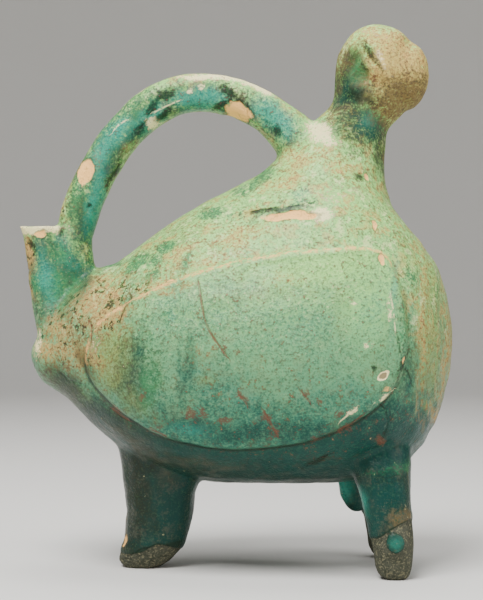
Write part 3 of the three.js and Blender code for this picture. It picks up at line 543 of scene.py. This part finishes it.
def round_off(piece, settings):
    """Rounds the flat faces of the solid into hand-smoothed clay, with crisp places kept crisp."""
    remesh = piece.modifiers.new("Even clay", "REMESH")
    remesh.mode = "VOXEL"
    remesh.voxel_size = settings.grain
    apply_modifiers(piece)
    places, _ = points_of(piece.data)
    rounds = np.round(smoothing_share(places) * settings.rounds)
    clay = bmesh.new()
    clay.from_mesh(piece.data)
    clay.verts.ensure_lookup_table()
    all_ways = {"use_axis_x": True, "use_axis_y": True, "use_axis_z": True}
    for count in range(settings.rounds):
        chosen = [clay.verts[i] for i in np.flatnonzero(rounds > count)]
        for factor in SMOOTHING_STEPS:
            bmesh.ops.smooth_vert(clay, verts=chosen, factor=factor, **all_ways)
    hollow = [v.index for v in hollow_points(clay)]
    clay.to_mesh(piece.data)
    clay.free()
    piece.vertex_groups.new(name="hollow").add(hollow, 1, "REPLACE")
    thin = piece.modifiers.new("Plainer hollow", "DECIMATE")
    thin.ratio = 1 - (1 - settings.hollow_share) * len(hollow) / len(places)
    thin.vertex_group = "hollow"
    apply_modifiers(piece)
    piece.vertex_groups.clear()


# Where the glazes and the wear lie. A field is near 1 inside a stroke, 0.5 at its edge and 0 beyond.


def stroke_cover(x, z, strokes):
    """How much strokes of one kind cover each point."""
    cover = np.zeros(len(x))
    for at_x, at_z, half_length, half_width, turn, strength in strokes:
        turned = math.radians(turn)
        along = (x - at_x) * math.cos(turned) + (z - at_z) * math.sin(turned)
        across = (z - at_z) * math.cos(turned) - (x - at_x) * math.sin(turned)
        away = np.hypot(along / half_length, across / half_width)
        cover = np.maximum(cover, strength * (1 - step(away, 0, 2)))
    return cover


def line_fields(x, z, lines):
    """The signed distance from the nearest line as 0 to 1, with 0.5 on the line, and 1 where a line is."""
    side = np.full(len(x), np.inf)
    for corners in lines:
        for start, end in zip(corners, corners[1:]):
            away = from_stretch(x, z, start, end)
            side = np.where(np.abs(away) < np.abs(side), away, side)
    on_line = 1 - step(np.abs(side), 0.4 * LINE_REACH, 0.9 * LINE_REACH)
    return 0.5 + 0.5 * np.clip(side / LINE_REACH, -1, 1), on_line


def glaze_line(places):
    """Height above the glaze's lower edge on each leg, in mm, below 0 on the bare foot."""
    x, y, z = places.T
    front = np.where(y < 0, 19 + 0.5 * (x - 65), 22 - 0.3 * (x - 65))
    back = 7 + 5 * hump(x, -34, 9)
    return z - np.where(x > FRONT_LEGS, front, back) - waver(places, 9, 3) * 1.2


def upper_edge(places):
    """1 where a wing's upper edge is near and 0 at its lower edge."""
    x, _, z = places.T
    return step(z - 118 - 0.25 * x, -10, 10) * step(78 - x, 0, 8)


def strayed(places, axis, shifts):
    """One coordinate of each point, moved to and fro so that the strokes get wavering edges."""
    moved = places[:, axis]
    for (stray, size), shift in zip(STRAY, shifts):
        moved = moved + stray * waver(places, size, shift)
    return moved


def paint_fields(places):
    """All the fields that the glaze is painted with, by name."""
    x, y, z = places.T
    moved_x = strayed(places, 0, (11, 5))
    moved_z = strayed(places, 2, (17, 29))
    right = step(-y, -4, 4)
    fields = {}
    for name, strokes in STROKES.items():
        own = stroke_cover(moved_x, moved_z, strokes)
        other = stroke_cover(moved_x + LEFT_SHIFT[0], moved_z + LEFT_SHIFT[1], strokes)
        fields[name] = right * own + (1 - right) * other
    side_x = np.where(y < 0, x, x + LEFT_SHIFT[0])
    side_z = np.where(y < 0, z, z + LEFT_SHIFT[1])
    for name, lines in LINES.items():
        fields[name + "_side"], fields[name + "_line"] = line_fields(side_x, side_z, lines)
    fields["wing"] = np.clip(0.5 + wing_distance(places) / EDGE_SPAN, 0, 1)
    fields["wing_top"] = upper_edge(places)
    fields["glazed"] = np.clip(0.5 + glaze_line(places) / EDGE_SPAN + bead(places), 0, 1)
    return fields


def bead(places):
    """The bead of glaze on the bare clay of the right front leg: 1 at its middle, 0 at its edge."""
    x, y, z = places.T
    at_x, at_z, half_length, half_height = BEAD
    away = np.hypot((x - at_x) / half_length, (z - at_z) / half_height)
    return (1 - step(away, 0.35, 1.25)) * (y < 0)


def relief(places, fields, settings):
    """How far each point is moved out along its normal, in metres."""
    x, y, z = places.T
    height = settings.unevenness * (waver(places, 17) + 0.5 * waver(places, 7, 2))

    # The ridge above the wing, the cut below it and its front edge.
    wing = (fields["wing"] - 0.5) * EDGE_SPAN
    over = fields["wing_top"]
    height += settings.ridge * hump(wing, 0.2, 1.8) * over * (1 + 0.5 * waver(places, 6, 7))
    height -= settings.undercut * hump(wing, -2, 1.7) * (1 - over) * step(80 - x, 0, 12)
    height += 0.6 * settings.ridge * hump(wing, 1.2, 2.2) * step(x, 66, 74)

    # Grooves, chips and pits.
    breast = step(x, 78, 90) * step(z, 55, 75) * step(180 - z, 0, 20)
    height += settings.groove * breast * np.sin(x * 1.05 + 1.5 * waver(places, 20, 4) + 0.02 * z)
    height -= settings.chip * step(np.maximum(fields["bare"], fields["chip"]), 0.35, 0.6)
    tail = step(-x - 20, 0, 30) * step(z, 90, 105) * step(170 - z, 0, 15)
    height -= settings.pit * tail * step(waver(places, 4, 9), 0.28, 0.5)

    # The glaze's lower edge on the legs.
    height += settings.bead * np.sqrt(bead(places))
    above = (fields["glazed"] - 0.5) * EDGE_SPAN
    height += settings.roll * (step(above, -0.6, 0.6) - 0.7 * step(above, 2, 7)) * (z < LEGS_TOP)

    # The head.
    height += settings.lump * round_form(x, z, LUMP) * (y < -8)
    side_of_head = step(np.abs(y), 4, 12) * step(z, 205, 214)
    ahead = FACE_WAY[0] * (x - HEAD[0]) + FACE_WAY[1] * (z - HEAD[1])
    hollow = hump(ahead, -9, 5.5) * step(z, 224, 232) * (1 - step(z, 242, 250))
    brow = hump(ahead, 0.5, 1.7) * step(z, 228, 234) * (1 - step(z, 246, 250))
    height += settings.temple * side_of_head * (0.35 * brow - hollow)
    comb = round_form(x, z, COMB) - round_form(x, z, COMB_DIP)
    height += settings.comb * comb * (z > 240)
    return height


def finish_surface(piece, settings):
    """Moves the clay's points for the low relief and keeps the fields that the glaze is painted with."""
    mesh = piece.data
    places, normals = points_of(mesh)
    fields = paint_fields(places)
    height = relief(places, fields, settings)
    floor = step(places[:, 2], 0.5, 3)
    moved = places * MM + normals * (height * floor)[:, None]
    low, high = CAD_BOX
    moved = np.clip(moved, np.array(low) + INSIDE, np.array(high) - INSIDE)
    mesh.vertices.foreach_set("co", moved.ravel())
    for name, values in fields.items():
        mesh.attributes.new(name, "FLOAT", "POINT").data.foreach_set("value", values.astype(np.float32))
    mesh.update()
    mesh.shade_smooth()


# The glaze's shader.


class Amount:
    """A number that varies over the surface. Python's operators add the nodes that work it out."""

    def __init__(self, recipe, socket):
        self.recipe = recipe
        self.socket = socket

    def __add__(self, other):
        return self.recipe.maths("ADD", self, other)

    def __sub__(self, other):
        return self.recipe.maths("SUBTRACT", self, other)

    def __mul__(self, other):
        return self.recipe.maths("MULTIPLY", self, other)

    def __rsub__(self, other):
        return self.recipe.maths("SUBTRACT", other, self)

    def __neg__(self):
        return self.recipe.maths("SUBTRACT", 0, self)

    def __abs__(self):
        return self.recipe.maths("ABSOLUTE", self)

    __radd__ = __add__
    __rmul__ = __mul__


class Recipe:
    """A node material that is written as a recipe: fields and noises in, one glaze out."""

    def __init__(self, name):
        self.material = bpy.data.materials.new(name)
        self.material.use_nodes = True
        self.tree = self.material.node_tree
        self.shader = self.tree.nodes["Principled BSDF"]
        self.place = self.node("ShaderNodeTexCoord").outputs["Object"]

    def node(self, kind, sockets=None, **settings):
        """A new node. Its settings are set first, then its sockets, by name or number, to values or links."""
        made = self.tree.nodes.new(kind)
        for name, value in settings.items():
            setattr(made, name, value)
        for name, value in (sockets or {}).items():
            self.feed(made.inputs[name], value)
        return made

    def feed(self, socket, value):
        """Links an amount or another socket to a socket, or sets it to a value."""
        value = getattr(value, "socket", value)
        if isinstance(value, bpy.types.NodeSocket):
            self.tree.links.new(value, socket)
        else:
            socket.default_value = value

    def maths(self, operation, *values):
        """One step of arithmetic on amounts or numbers."""
        made = self.node("ShaderNodeMath", dict(enumerate(values)), operation=operation)
        return Amount(self, made.outputs[0])

    def most(self, first, *others):
        """The largest of some amounts at each point."""
        for other in others:
            first = self.maths("MAXIMUM", first, other)
        return first

    def rise(self, value, low, high):
        """0 below low, 1 above high, and a smooth rise between them."""
        span = {"Value": value, "From Min": low, "From Max": high}
        made = self.node("ShaderNodeMapRange", span, interpolation_type="SMOOTHSTEP")
        return Amount(self, made.outputs["Result"])

    def band(self, value, low, high, soft):
        """1 from low to high, with soft edges."""
        return self.rise(value, low - soft, low + soft) * (1 - self.rise(value, high - soft, high + soft))

    def field(self, name):
        """One of the fields that the mesh keeps."""
        return Amount(self, self.node("ShaderNodeAttribute", attribute_name=name).outputs["Fac"])

    def length_and_height(self):
        """A point's place along the bird and its height, in mm."""
        parts = self.node("ShaderNodeSeparateXYZ", {"Vector": self.place})
        return Amount(self, parts.outputs["X"]) * (1 / MM), Amount(self, parts.outputs["Z"]) * (1 / MM)

    def cloud(self, size, detail=2.0, stretch=(1, 1, 1), shift=0.0, rough=0.55):
        """Noise round 0, mostly from -0.5 to 0.5, with waves of a size in mm."""
        scale = tuple(1 / s for s in stretch)
        moved = self.node(
            "ShaderNodeMapping",
            {"Vector": self.place, "Location": (shift, shift * 0.6, -shift), "Scale": scale},
        )
        made = self.node(
            "ShaderNodeTexNoise",
            {"Vector": moved.outputs["Vector"], "Scale": 1 / MM / size, "Detail": detail, "Roughness": rough},
        )
        return (Amount(self, made.outputs["Fac"]) - 0.5) * NOISE_SPREAD

    def mix(self, under, over, share):
        """One colour over another where share is 1."""
        sockets = {SHARE: share, UNDER: self.tint(under), OVER: self.tint(over)}
        return self.node("ShaderNodeMix", sockets, data_type="RGBA").outputs[MIXED]

    def tint(self, value):
        """What a colour's socket takes: another socket as it is, or three numbers made opaque."""
        return value if isinstance(value, bpy.types.NodeSocket) else (*value, 1)

    def line(self, name, half_width, rough):
        """1 on the thin lines of a name, from their signed distance, with a half width in mm."""
        away = abs(self.field(name + "_side") - 0.5) * (2 * LINE_REACH) + rough * 0.5
        return self.field(name + "_line") * (1 - self.rise(away, half_width * 0.3, half_width * 1.5))


def worn_glaze(glaze):
    """Turquoise glaze on pale clay: thick and thin places, runs, bare patches, worn white edges, specks,
    lines, and painted light, glints and shade.

    Sizes of noise, places along the bird and heights are in mm. Factors are shares of a colour or an effect.
    """
    r = Recipe("worn_turquoise_glaze")
    grain = r.cloud(0.95, 2)
    fine = r.cloud(2.0, 3, shift=0.31)
    ragged = r.cloud(5.5, 4, shift=0.17, rough=0.65)
    wide = r.cloud(19, 3, shift=0.53)
    runs = r.cloud(3.6, 3, stretch=(1, 1, 6), shift=0.77)
    rings = r.cloud(1.8, 3, stretch=(1, 4, 9), shift=0.41)
    flecks = r.cloud(1.5, 3, shift=0.93)
    mottle = r.cloud(8, 5, shift=0.63, rough=0.68)
    holes = r.cloud(3.4, 2, shift=1.13)
    along, upward = r.length_and_height()

    def patches(name, coarse, small, soft, noise=ragged):
        """Where a field shows, its edge broken up by coarse and by small noise."""
        return r.rise(r.field(name) + noise * coarse + (fine + grain) * small, 0.5 - soft, 0.5 + soft)

    # The glaze itself, lighter above and darker below: partly thinner and thicker glaze, partly painted light
    # on the top and painted shade low down.
    speck = grain * 0.6 + fine * 0.4
    drift = wide * 22 + ragged * 9
    paint = r.mix(glaze.mid, glaze.body, r.rise(upward + drift, 66, 108))
    paint = r.mix(paint, glaze.pale, r.rise(upward + drift, 112, 168) * 0.85)
    paint = r.mix(paint, glaze.olive, patches("olive", 0.4, 0.25, 0.43) * 0.85)
    wing = r.field("wing")
    upper = (1 - r.rise(wing, 0.48, 0.56)) * r.rise(upward + drift, 92, 130)
    paint = r.mix(paint, glaze.tan, r.rise(mottle + fine * 0.3, -0.02, 0.28) * (upper * 0.6 + 0.08))
    paint = r.mix(paint, glaze.cream, r.rise(-mottle - fine * 0.4, 0.14, 0.4) * (upper * 0.38 + 0.05))
    paint = r.mix(paint, glaze.green, r.rise(ragged + fine * 0.3, 0.2, 0.42) * (upper * 0.35 + 0.12))
    over = r.field("wing_top")
    # Painted shade under each wing and low on the body: dark olive towards the tail, dark teal towards the
    # front.
    shade_under_wing = r.mix(glaze.low, glaze.teal, r.rise(along + runs * 30, -62, 10))
    below = r.rise(0.47 - wing, 0, 0.06) * (1 - over) * (1 - r.rise(upward + ragged * 14, 66, 98))
    paint = r.mix(paint, shade_under_wing, below * 0.9)
    # Painted light from the pale strokes.
    paint = r.mix(paint, glaze.pale, patches("pale", 0.3, 0.15, 0.45) * 0.7)
    # Painted shade from the low strokes, over dark olive glaze.
    low = patches("low", 0.28, 0.2, 0.38)
    paint = r.mix(paint, glaze.low, low * 0.85)
    thick = patches("teal", 0.37, 0.16, 0.4, runs)
    paint = r.mix(paint, glaze.teal, thick * 0.85)
    paint = r.mix(paint, glaze.green, patches("green", 0.37, 0.3, 0.27) * 0.9)
    blue = patches("blue", 0.25, 0.14, 0.42)
    paint = r.mix(paint, glaze.blue, blue * 0.8)
    thin = patches("tan", 0.45, 0.5, 0.32) * r.most(1 - low, r.rise(r.field("tan"), 0.1, 0.3))
    paint = r.mix(paint, glaze.tan, thin * (0.85 - low * 0.5))
    breast = r.rise(r.field("tan") + r.field("olive"), 0.2, 0.7) * r.rise(along, 66, 84)
    paint = r.mix(paint, glaze.tan, r.rise(rings, 0.05, 0.4) * breast * 0.4)
    tail = r.rise(r.field("tan"), 0.2, 0.45) * (1 - r.rise(along, -45, -25)) * r.rise(upward, 92, 104)
    paint = r.mix(paint, glaze.dark, r.rise(holes + grain * 0.3, 0.2, 0.32) * tail * 0.85)
    scuffs = patches("brown", 0.45, 0.4, 0.36)
    paint = r.mix(paint, glaze.brown, scuffs * 0.75)

    # Specks: dark teal, pale and clay coloured; the pale specks grow lighter higher up as painted light.
    covered = r.most(low, below, thick, blue)
    dim = 1 - r.most(covered, thin * 0.8) * 0.8
    paint = r.mix(paint, glaze.teal, r.rise(speck, -0.08, 0.3) * 0.5)
    light = r.mix(glaze.body, glaze.pale, r.rise(upward, 95, 140))
    paint = r.mix(paint, light, r.rise(-speck, 0.0, 0.32) * 0.45 * dim)
    paint = r.mix(paint, glaze.brown, r.rise(flecks, 0.16, 0.36) * (0.32 - covered * 0.29))
    # More painted shade: foot-coloured mottling where the low strokes lie.
    paint = r.mix(paint, glaze.foot, r.rise(-mottle - grain * 0.5, 0.02, 0.4) * low * 0.6)
    paint = r.mix(paint, glaze.cream, r.rise(-flecks, 0.22, 0.42) * 0.22 * dim * r.rise(upward, 80, 140))

    # Rubbed edges and painted glints, dark pools, painted shadow under each wing, spots and lines.
    # Worn white edges and painted glints from the cream strokes.
    rubbed_white_and_glints = patches("cream", 0.35, 0.45, 0.16)
    paint = r.mix(paint, glaze.cream, rubbed_white_and_glints * 0.8)
    pools = patches("dark", 0.3, 0.2, 0.3)
    paint = r.mix(paint, glaze.dark, pools * 0.9)
    broken = r.rise(ragged + fine, -0.35, 0.1)
    wing_outline = wing + ragged * 0.03 + fine * 0.015
    front_edge = r.rise(along, 55, 70) * r.rise(upward, 82, 98)
    # Painted shadow in the cut under each wing, fainter towards its front end.
    paint = r.mix(paint, glaze.dark, r.band(wing_outline, 0.34, 0.47, 0.05) * (1 - over) * (0.85 - front_edge * 0.65))
    crest = r.band(wing_outline, 0.43, 0.56, 0.06) * over * r.rise(ragged + fine, -0.3, 0.3)
    paint = r.mix(paint, glaze.bare, crest * 0.8)
    rusty = patches("rust", 0.5, 0.8, 0.25) * r.most(1 - low, r.rise(r.field("rust"), 0.1, 0.3))
    paint = r.mix(paint, glaze.rust, rusty * 0.65)
    paint = r.mix(paint, glaze.dark, r.line("dark", 0.5, fine) * broken * 0.7)
    paint = r.mix(paint, glaze.rust, r.line("rust", 0.55, fine) * (broken * 0.4 + 0.45))
    # Pale scratches, and a painted glint along the wing's front edge.
    paint = r.mix(paint, glaze.cream, r.line("pale", 0.4, fine) * broken * 0.7)

    # Places where the glaze has come off.
    bare_edge = r.field("bare") + ragged * 0.2 + fine * 0.12
    bare = r.rise(bare_edge, 0.42, 0.56)
    paint = r.mix(paint, glaze.dark, r.band(bare_edge, 0.34, 0.47, 0.06) * broken * 0.5)
    clay = r.mix(glaze.bare, glaze.tan, r.rise(fine + wide + grain, 0.0, 0.6) * 0.55)
    paint = r.mix(paint, clay, bare)
    chip_edge = r.field("chip") + ragged * 0.12 + fine * 0.06
    chip = r.rise(chip_edge, 0.4, 0.46)
    paint = r.mix(paint, glaze.cream, chip)
    paint = r.mix(paint, glaze.brown, r.rise(chip_edge, 0.6, 0.68) * 0.8)
    glazed = r.field("glazed") + fine * 0.015
    foot = 1 - r.rise(glazed, 0.49, 0.53)
    sole = r.mix(glaze.foot, glaze.low, r.rise(ragged + grain, 0.0, 0.6) * 0.45)
    sole = r.mix(sole, glaze.cream, r.rise(-grain - fine * 0.3, 0.0, 0.5) * 0.12)
    paint = r.mix(paint, glaze.dark, r.band(glazed, 0.5, 0.58, 0.03) * 0.7)
    paint = r.mix(paint, sole, foot)

    # Dull where the clay shows and on the head, a soft gloss elsewhere.
    head = r.rise(upward, 188, 208) * r.rise(along, 40, 50)
    matte = r.most(bare, foot, thin * 0.55, rubbed_white_and_glints * 0.6, head * 0.8)
    r.feed(r.shader.inputs["Base Color"], paint)
    r.feed(r.shader.inputs["Roughness"], 0.38 + matte * 0.45 + fine * 0.14 + grain * 0.1)
    r.feed(r.shader.inputs["Coat Weight"], 0.07 * (1 - matte))
    r.feed(r.shader.inputs["Coat Roughness"], 0.2)
    r.feed(r.shader.inputs["IOR"], 1.45)
    r.feed(r.shader.inputs["Specular IOR Level"], 0.2)

    # Fine relief of the surface.
    height = grain * 0.14 + fine * 0.22 + ragged * 0.2
    height = height - r.rise(holes, 0.2, 0.36) * tail * 0.8 - bare * 0.5 - chip * 0.5 - foot * 0.4
    height = height - r.line("rust", 0.6, fine) * 0.5 - r.line("dark", 0.5, fine) * 0.5
    height = height + rings * breast * 0.25
    bump = r.node("ShaderNodeBump", {"Strength": 0.75, "Distance": 0.0011, "Height": height})
    r.feed(r.shader.inputs["Normal"], bump.outputs["Normal"])
    return r.material


class EWER_OT_body(bpy.types.Operator):
    """Make the glazed ewer over its CAD solid"""

    bl_idname = "ewer.make_body"
    bl_label = "Ewer"

    def execute(self, context):
        piece = merged_copy("ewer", "glazed_ewer")
        round_off(piece, context.scene.ewer_clay)
        finish_surface(piece, context.scene.ewer_clay)
        piece.data.materials.append(worn_glaze(context.scene.ewer_glaze))
        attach(piece, "root")
        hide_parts("ewer")
        return {"FINISHED"}


# The studio.


def floor_sweep(settings):
    """A round floor that curves up into a wall far off, the same from every side."""
    sweep = bmesh.new()
    profile = [Vector((0, 0, 0)), Vector((FLOOR_FLAT, 0, 0))]
    for i in range(1, TURN_PARTS + 1):
        angle = math.radians(90) * i / TURN_PARTS
        out, up = math.sin(angle), 1 - math.cos(angle)
        profile.append(Vector((FLOOR_FLAT + FLOOR_TURN * out, 0, FLOOR_TURN * up)))
    points = [sweep.verts.new(p) for p in profile]
    edges = [sweep.edges.new(pair) for pair in zip(points, points[1:])]
    bmesh.ops.spin(
        sweep,
        geom=points + edges,
        cent=(0, 0, 0),
        axis=(0, 0, 1),
        angle=math.tau,
        steps=FLOOR_PARTS,
        use_merge=True,
    )
    bmesh.ops.remove_doubles(sweep, verts=sweep.verts, dist=SAME_PLACE)
    mesh = bpy.data.meshes.new("floor")
    sweep.to_mesh(mesh)
    sweep.free()
    mesh.shade_smooth()
    floor = bpy.data.objects.new("floor", mesh)
    bpy.context.scene.collection.objects.link(floor)
    paint = Recipe("floor_paint")
    paint.feed(paint.shader.inputs["Base Color"], (*settings.floor, 1))
    paint.feed(paint.shader.inputs["Roughness"], 0.9)
    mesh.materials.append(paint.material)


def lamp(name, energy, size, place):
    """A soft square light that faces the middle of the ewer."""
    data = bpy.data.lights.new(name, "AREA")
    data.energy = energy
    data.size = size
    light = bpy.data.objects.new(name, data)
    light.location = place
    light.rotation_euler = (Vector(LAMP_AIM) - light.location).to_track_quat("-Z", "Y").to_euler()
    bpy.context.scene.collection.objects.link(light)


def camera():
    """A long lens level with the middle of the ewer, a little to the right of square on."""
    data = bpy.data.cameras.new("camera")
    data.sensor_width = SENSOR
    data.lens = LENS
    data.clip_start = NEAREST
    made = bpy.data.objects.new("camera", data)
    turn, rise = math.radians(CAMERA_TURN), math.radians(CAMERA_RISE)
    back = Vector((math.sin(turn) * math.cos(rise), -math.cos(turn) * math.cos(rise), math.sin(rise)))
    made.location = Vector(CAMERA_AIM) + back * CAMERA_AWAY
    made.rotation_euler = (-back).to_track_quat("-Z", "Y").to_euler()
    bpy.context.scene.collection.objects.link(made)
    return made


class EWER_OT_stage(bpy.types.Operator):
    """Make the floor, the lights and the camera"""

    bl_idname = "ewer.make_stage"
    bl_label = "Stage"

    def execute(self, context):
        settings = context.scene.ewer_stage
        floor_sweep(settings)
        for name, (size, place) in LAMPS.items():
            lamp(name, getattr(settings, name), size, place)
        world = bpy.data.worlds.new("surroundings")
        world.use_nodes = True
        background = world.node_tree.nodes["Background"]
        background.inputs["Color"].default_value = (1, 1, 1, 1)
        background.inputs["Strength"].default_value = settings.sky
        context.scene.world = world
        context.scene.camera = camera()
        return {"FINISHED"}


class EWER_PT_panel(bpy.types.Panel):
    """The ewer's settings and pieces"""

    bl_idname = "EWER_PT_panel"
    bl_label = "Glazed Ewer"
    bl_space_type = "VIEW_3D"
    bl_region_type = "UI"
    bl_category = "Ewer"

    def draw(self, context):
        groups = {
            "ewer.make_body": (context.scene.ewer_clay, context.scene.ewer_glaze),
            "ewer.make_stage": (context.scene.ewer_stage,),
        }
        for operator, settings in groups.items():
            for group in settings:
                for name in type(group).__annotations__:
                    self.layout.prop(group, name)
            self.layout.operator(operator)


CLASSES = (EwerClay, EwerGlaze, EwerStage, EWER_OT_body, EWER_OT_stage, EWER_PT_panel)


def register():
    for made in CLASSES:
        bpy.utils.register_class(made)
    bpy.types.Scene.ewer_clay = PointerProperty(type=EwerClay)
    bpy.types.Scene.ewer_glaze = PointerProperty(type=EwerGlaze)
    bpy.types.Scene.ewer_stage = PointerProperty(type=EwerStage)


def unregister():
    del bpy.types.Scene.ewer_clay
    del bpy.types.Scene.ewer_glaze
    del bpy.types.Scene.ewer_stage
    for made in reversed(CLASSES):
        bpy.utils.unregister_class(made)


def main():
    """Makes the stage and the ewer."""
    register()
    bpy.ops.ewer.make_stage()
    bpy.ops.ewer.make_body()


if __name__ == "__main__":
    main()
